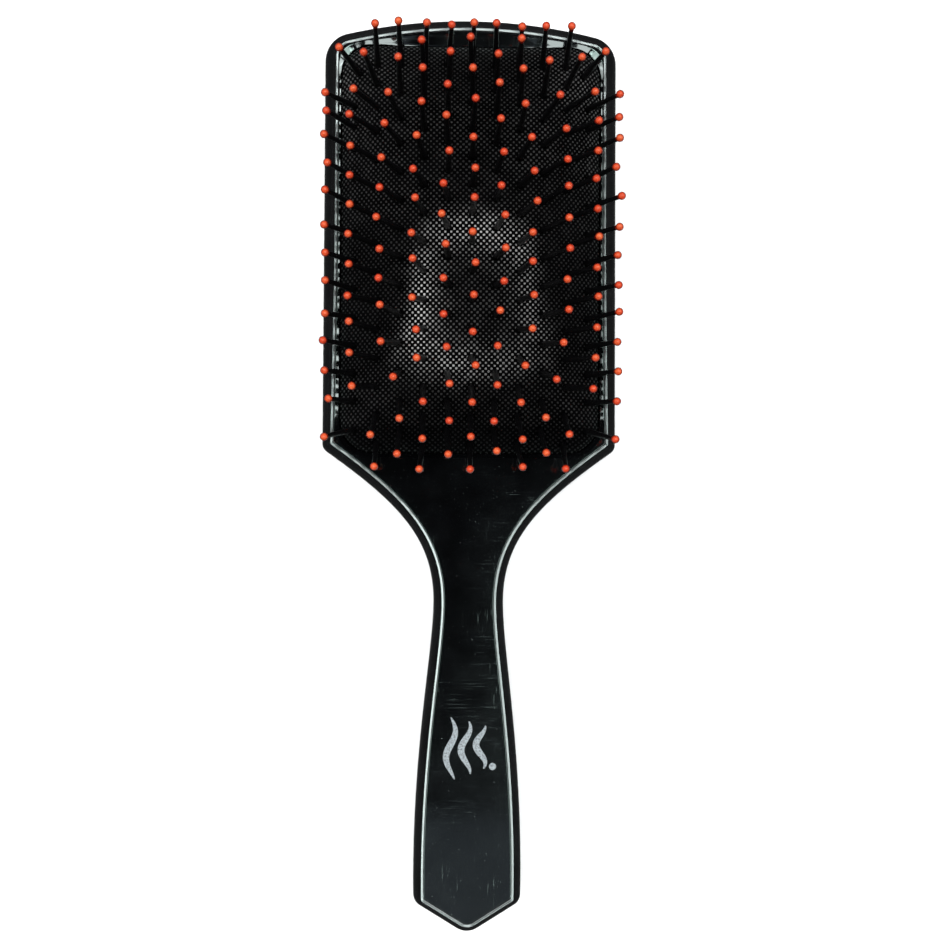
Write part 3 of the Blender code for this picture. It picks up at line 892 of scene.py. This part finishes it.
# Where the painted highlight on the dots lies: a ring on the crown.
CROWN_X, CROWN_Y = 1, 46  # the ring's middle, in mm
CROWN_HALF_X, CROWN_HALF_Y = 14.5, 19
CROWN_FLARE = 0.28  # how fast it widens towards the handle
CROWN_RING = 0.95
CROWN_RING_OUT, CROWN_RING_IN = 0.19, 0.3
LOWER_LEFT = math.radians(208)
DOTS_FROM_Y = 13


def painted_dot_highlight(co):
    """Painted highlight on the dots: how bright their tops are, most in a rounded ring on the crown,
    above and to the left, standing in for the lights' reflection.
    """
    x, y = co[:, 0] / MM, co[:, 1] / MM
    half = CROWN_HALF_X + CROWN_FLARE * np.maximum(CROWN_Y - y, 0)
    across, down = (x - CROWN_X) / half, (y - CROWN_Y) / CROWN_HALF_Y
    far = (np.abs(across) ** 3 + np.abs(down) ** 3) ** (1 / 3)
    angle = np.arctan2(down, across)
    above = np.maximum(np.sin(angle), 0) ** 2
    lower_left = np.maximum(np.cos(angle - LOWER_LEFT), 0) ** 2
    strength = 0.36 + 0.5 * above + 0.7 * lower_left
    width = np.where(far > CROWN_RING, CROWN_RING_OUT, CROWN_RING_IN)
    ring = strength * bell(far - CROWN_RING, width)
    corners = bell(y - 106, 16) * 0.11 * (np.abs(x + 2) / 30) ** 3
    shoulder = 0.03 * bell(y - 88, 24)
    field = 0.016 + 0.022 * np.exp(-(((y - 20) / 6) ** 2) - (10 / (np.abs(x) + 5)) ** 2)
    field = np.where(y < DOTS_FROM_Y, 0.0, field)
    inner = 0.05 * np.exp(-(far**4))
    return np.clip(ring + corners + shoulder + field + inner, 0, 1.3)


def cushion(mat, roots):
    flange_low = FLANGE_TOP - FLANGE_THICKNESS
    seats = [root[:2] for _, root, _ in roots]
    rings = []
    for inset in INNER_INSETS:
        ring = window_ring(-inset * MM)
        x, y = ring.T
        rings.append((ring, PLATE_TOP + dome(x, y - WINDOW_Y) - CUSHION_THICKNESS))
    rings += [
        (window_ring(-(GAP + CUSHION_WALL)), flange_low),
        (window_ring(FLANGE_REACH - FLANGE_CHAMFER), flange_low),
        (window_ring(FLANGE_REACH), flange_low + FLANGE_CHAMFER),
        (window_ring(FLANGE_REACH), FLANGE_TOP),
        (window_ring(-GAP), FLANGE_TOP),
    ]
    for inset in (*EDGE_INSETS, *np.arange(*TOP_INSETS)):
        ring = window_ring(-inset * MM)
        height = cushion_top(*ring.T, seats)
        if inset == EDGE_INSETS[0]:
            height = height - EDGE_DROP
        rings.append((ring, height))
    pad = mesh_object("cushion_rubber", *loft_arrays(rings, zipped=True), mat)
    bore = ((0, HOLE_RADIUS), (HOLE_LENGTH, HOLE_RADIUS))
    holes = [(root - HOLE_DEPTH * d, d, bore, HOLE_SIDES) for _, root, d in roots]
    cut(pad, [many_turned("pin_holes", holes)], "MANIFOLD")
    shade(pad, 50)
    co = coordinates(pad)
    store(pad, "sheet", sheet_coordinates(co))
    # The crown attribute holds the dots' painted highlight.
    store(pad, "crown", painted_dot_highlight(co))
    return pad


# ---------------------------------------------------------------- pins

FOOT_DEPTH = 2.75 * MM
PIN_SEED = 11
LEAN_SPREAD = 0.026
TONE_MEAN, TONE_SPREAD = 0.35, 0.3
SHAFT_SIDES, BALL_SIDES = 14, 16
BALL_NECK = ((1.22, 0.6), (1.08, 0.66))  # (distance under the ball's centre, radius) in mm
BALL_ANGLES = (-44, -28, -10, 8, 26, 42, 58, 74)
SHAFT_PROFILE = (  # (distance up from the foot, radius) in mm
    (0.0, 1.0),
    (0.1, 1.2),
    (0.4, 1.2),
    (0.52, 1.05),
    (0.75, 0.88),
    (2.1, 0.88),
    (2.7, 0.86),
    (3.2, 0.83),
    (7.0, 0.77),
    (12.0, 0.68),
    (16.2, 0.6),
    (17.2, 0.58),
)


def ball_profile():
    centre = PIN_LENGTH - BALL_RADIUS
    profile = [(centre - under * MM, radius * MM) for under, radius in BALL_NECK]
    for degrees in BALL_ANGLES:
        angle = math.radians(degrees)
        profile.append((centre + BALL_RADIUS * math.sin(angle), BALL_RADIUS * math.cos(angle)))
    profile.append((PIN_LENGTH, 0))
    return profile


def pins(roots, shaft_mat, ball_mat):
    rng = random.Random(PIN_SEED)
    groups = {}
    for node, root, direction in roots:
        lean = direction + np.array([rng.gauss(0, LEAN_SPREAD), rng.gauss(0, LEAN_SPREAD), 0])
        lean /= np.linalg.norm(lean)
        tone = min(max(rng.gauss(TONE_MEAN, TONE_SPREAD), 0), 1)
        groups.setdefault(node, []).append((root, lean, tone))
    shaft = [(distance * MM, radius * MM) for distance, radius in SHAFT_PROFILE]
    for node in sorted(groups):
        members = groups[node]
        solids = [(root - FOOT_DEPTH * d, d, shaft, SHAFT_SIDES) for root, d, _ in members]
        shafts = many_turned(f"{node}_shafts", solids, shaft_mat)
        shade(shafts, 50)
        balls = [(root, d, ball_profile(), BALL_SIDES) for root, d, _ in members]
        tips = many_turned(f"{node}_tips", balls, ball_mat, [tone for _, _, tone in members])
        shade(tips, 60)
        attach(shafts, BODY_OF[node])
        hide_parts(node)
        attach(tips, BODY_OF[node])


# ---------------------------------------------------------------- mark on the handle

# All in mm.
STRAND_LENGTHS = (16.5, 14.0, 11.5)
STRAND_TOP_Y, STRAND_TOP_STEP = -64.5, 1.1
STRAND_X, STRAND_PITCH = -4.6, 4.0
WAVE_HEIGHT, WAVE_TURNS, WAVE_STEP = 1.25, 1.15, 0.12
STRAND_END, STRAND_SWELL = 0.12, 0.78
DOT_X, DOT_Y, DOT_RADIUS = 6.6, -77.6, 0.95
PRINT_UNDER, PRINT_OVER = 0.005, 0.05


def handle_mark(mat):
    """A plain printed mark: three waving strands and a dot."""
    low, high = PLATE_TOP + PRINT_UNDER * MM, PLATE_TOP + PRINT_OVER * MM
    verts, faces = [], []

    def add(ring):
        v, f = loft_arrays([(ring, low), (ring, high)])
        faces.extend([tuple(len(verts) + i for i in face) for face in f])
        verts.extend(v)

    t = np.linspace(0, 1, 40)
    widths = (STRAND_END + STRAND_SWELL * np.sin(math.pi * t) ** 0.8) * MM
    for k, length in enumerate(STRAND_LENGTHS):
        wave = np.sin(2 * math.pi * (t * WAVE_TURNS + WAVE_STEP * k))
        x = STRAND_X + STRAND_PITCH * k + WAVE_HEIGHT * wave
        y = STRAND_TOP_Y - STRAND_TOP_STEP * k - length * t
        centre = np.stack([x, y], axis=1) * MM
        run = np.gradient(centre, axis=0)
        run /= np.linalg.norm(run, axis=1)[:, None]
        side = np.stack([run[:, 1], -run[:, 0]], axis=1) * widths[:, None]
        add(np.concatenate([centre + side, (centre - side)[::-1]]))
    angles = np.linspace(0, 2 * math.pi, 28, endpoint=False)
    x, y = DOT_X + DOT_RADIUS * np.cos(angles), DOT_Y - DOT_RADIUS * np.sin(angles)
    add(np.stack([x, y], axis=1) * MM)
    return mesh_object("handle_mark", verts, faces, mat)


# ---------------------------------------------------------------- studio

LIGHTS_AWAY = 8.0
COOL = (0.88, 1.0, 0.98)
PALE_GREEN = (0.74, 1.0, 0.93)
PALE_BLUE = (0.7, 0.88, 1.0)
WARM = (1.0, 0.8, 0.55)
RING_LIGHTS = 8
RING_RADIANCE, RING_RIGHT_EXTRA = 13.5, 4.5
BACKGROUND = (0.93, 0.935, 0.94, 1)
WORLD_LEVELS = (  # (height from straight down to straight up, brightness)
    (0.0, 0.08),
    (0.4, 0.09),
    (0.5, 0.09),
    (0.56, 0.08),
    (0.8, 0.07),
    (0.96, 0.04),
    (0.985, 0.008),
)
FLOOR_SIDES = 64
FLOOR_RADII = (0.4, 1.0, 2.5, 6.0, 16.0)
CAMERA_AT = (-10 * MM, 1.5 * MM, 346 * MM)
CAMERA_TILT = 1.74
CAMERA_TURN = 0.3
CAMERA_LENS, CAMERA_SENSOR = 48.05, 36


def aim(obj, target):
    direction = Vector(target) - obj.location
    obj.rotation_mode = "QUATERNION"
    obj.rotation_quaternion = direction.to_track_quat("-Z", "Y")


def softbox(name, lean, size, radiance, overhead=False, tint=(1, 1, 1)):
    """A far rectangular light. lean is its angles (towards +X, towards +Y) off the
    vertical, or (zenith, azimuth); size is its width and height in degrees."""
    light = bpy.data.lights.new(name, "AREA")
    light.shape = "RECTANGLE"
    light.size, light.size_y = (2 * LIGHTS_AWAY * math.tan(math.radians(a) / 2) for a in size)
    light.energy = radiance * math.pi * light.size * light.size_y
    light.color = tint
    obj = bpy.data.objects.new(name, light)
    bpy.context.scene.collection.objects.link(obj)
    a, b = (math.radians(angle) for angle in lean)
    if overhead:
        out = Vector((math.tan(a), math.tan(b), 1)).normalized()
        across = (Vector((1, 0, 0)) - out * out.x).normalized()
        turn = Matrix((across, out.cross(across), out)).transposed()
        obj.matrix_world = Matrix.Translation(out * LIGHTS_AWAY) @ turn.to_4x4()
    else:
        out = Vector((math.sin(a) * math.cos(b), math.sin(a) * math.sin(b), math.cos(a)))
        obj.location = out * LIGHTS_AWAY
        aim(obj, (0, 0, 0))
    obj.visible_diffuse = False
    return obj


def sun(name, zenith, azimuth, strength, angle):
    light = bpy.data.lights.new(name, "SUN")
    light.energy = strength
    light.angle = math.radians(angle)
    obj = bpy.data.objects.new(name, light)
    z, a = math.radians(zenith), math.radians(azimuth)
    obj.location = (math.sin(z) * math.cos(a), math.sin(z) * math.sin(a), math.cos(z))
    bpy.context.scene.collection.objects.link(obj)
    aim(obj, (0, 0, 0))
    obj.visible_glossy = False
    return obj


def receivers(name, objects):
    """The only objects that a light shines on."""
    made = bpy.data.collections.new(name)
    for obj in objects:
        made.objects.link(bpy.data.objects[obj])
    return made


def lights():
    glossy = receivers("glossy_plastic", ("shell_gloss", "plate_satin"))
    strips = []
    for k in range(RING_LIGHTS):
        azimuth = 360 // RING_LIGHTS * k
        radiance = RING_RADIANCE + RING_RIGHT_EXTRA * math.cos(math.radians(azimuth))
        strips.append(softbox(f"ring_{k}", (53, azimuth), (36, 19), radiance, tint=COOL))
    for side, lean, azimuth in (("right", 16.0, -6), ("left", -12.5, 186)):
        strips.append(softbox(f"corner_{side}", (lean, -14.5), (17, 21), 17, True, PALE_GREEN))
        strips.append(softbox(f"top_{side}", (25, azimuth), (36, 20), 15, tint=PALE_GREEN))
        softbox(f"sparkle_{side}", (26, azimuth), (17, 12), 3.5)
    strips.append(softbox("below_handle", (0, -34), (34, 20), 15, True, COOL))
    strips.append(softbox("above_head", (0, 36), (34, 16), 12, True, COOL))
    for strip in strips:
        strip.light_linking.receiver_collection = glossy
    softbox("handle_sheen", (1.7, -19.5), (9, 7), 0.6, True, PALE_BLUE)
    tips = [obj.name for obj in bpy.data.objects if obj.name.endswith("_tips")]
    gleam = softbox("tips_gleam", (4, 6), (42, 42), 5.0, True, WARM)
    gleam.light_linking.receiver_collection = receivers("pin_tips", tips)
    sun("sun_left", 42, 165, 2.4, 60)
    sun("sun_right", 42, 15, 1.9, 60)
    wash = sun("floor_wash", 0, 0, 2.6, 70)
    wash.light_linking.receiver_collection = receivers("pale_floor", ("floor",))


def world():
    """A dim studio for the reflections, and a pale background for the camera alone."""
    made = bpy.data.worlds.new("studio")
    bpy.context.scene.world = made
    made.use_nodes = True
    tree = made.node_tree
    tree.nodes.clear()
    coords = tree.nodes.new("ShaderNodeTexCoord")
    split = tree.nodes.new("ShaderNodeSeparateXYZ")
    ramp = tree.nodes.new("ShaderNodeValToRGB")
    place = tree.nodes.new("ShaderNodeMapRange")
    place.inputs["From Min"].default_value = -1.0
    path = tree.nodes.new("ShaderNodeLightPath")
    back = tree.nodes.new("ShaderNodeBackground")
    pale = tree.nodes.new("ShaderNodeBackground")
    mix = tree.nodes.new("ShaderNodeMixShader")
    out = tree.nodes.new("ShaderNodeOutputWorld")
    pale.inputs["Color"].default_value = BACKGROUND
    elements = ramp.color_ramp.elements
    for k, (at, level) in enumerate(WORLD_LEVELS):
        stop = elements[k] if k < 2 else elements.new(at)
        stop.position = at
        stop.color = (level, level * 1.01, level * 1.03, 1)
    link = tree.links.new
    link(coords.outputs["Generated"], split.inputs[0])
    link(split.outputs["Z"], place.inputs["Value"])
    link(place.outputs["Result"], ramp.inputs["Fac"])
    link(ramp.outputs["Color"], back.inputs["Color"])
    link(path.outputs["Is Camera Ray"], mix.inputs[0])
    link(back.outputs[0], mix.inputs[1])
    link(pale.outputs[0], mix.inputs[2])
    link(mix.outputs[0], out.inputs["Surface"])


def floor():
    angles = 2 * math.pi * np.arange(FLOOR_SIDES) / FLOOR_SIDES
    verts, faces = [(0, 0, 0)], []
    for radius in FLOOR_RADII:
        verts += [(radius * math.cos(a), radius * math.sin(a), 0) for a in angles]
    for i in range(FLOOR_SIDES):
        j = (i + 1) % FLOOR_SIDES
        faces.append((0, 1 + i, 1 + j))
        for k in range(len(FLOOR_RADII) - 1):
            low = 1 + FLOOR_SIDES * k
            high = low + FLOOR_SIDES
            faces.append((low + i, high + i, high + j, low + j))
    look = Look("pale_floor", Roughness=0.9, Specular_IOR_Level=0.1)
    look.set("Base Color", look.mixed(look.noise(3), (0.88, 0.885, 0.89), (0.92, 0.92, 0.92)))
    plane = mesh_object("floor", verts, faces, look.material)
    plane.visible_glossy = False


def camera():
    data = bpy.data.cameras.new("camera")
    data.lens = CAMERA_LENS
    data.sensor_width = CAMERA_SENSOR
    data.clip_start, data.clip_end = 0.01, 50
    obj = bpy.data.objects.new("camera", data)
    bpy.context.scene.collection.objects.link(obj)
    tilt = Matrix.Rotation(math.radians(-CAMERA_TILT), 4, "Y")
    turn = Matrix.Rotation(math.radians(CAMERA_TURN), 4, "Z")
    obj.matrix_world = Matrix.Translation(CAMERA_AT) @ tilt @ turn
    bpy.context.scene.camera = obj


def build():
    shell = body_shell(gloss_black())
    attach(shell, "body")
    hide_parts("body_shell")
    plate = face_plate(satin_black())
    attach(plate, "body")
    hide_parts("face_plate")
    roots = pin_roots()
    pad = cushion(dotted_rubber(), roots)
    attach(pad, "body")
    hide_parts("cushion_pad")
    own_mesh(pad)
    pins(roots, black_nylon(), ball_orange())
    mark = handle_mark(mark_print())
    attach(mark, "body")


build()
floor()
lights()
world()
camera()
bpy.context.scene.view_settings.view_transform = "Standard"
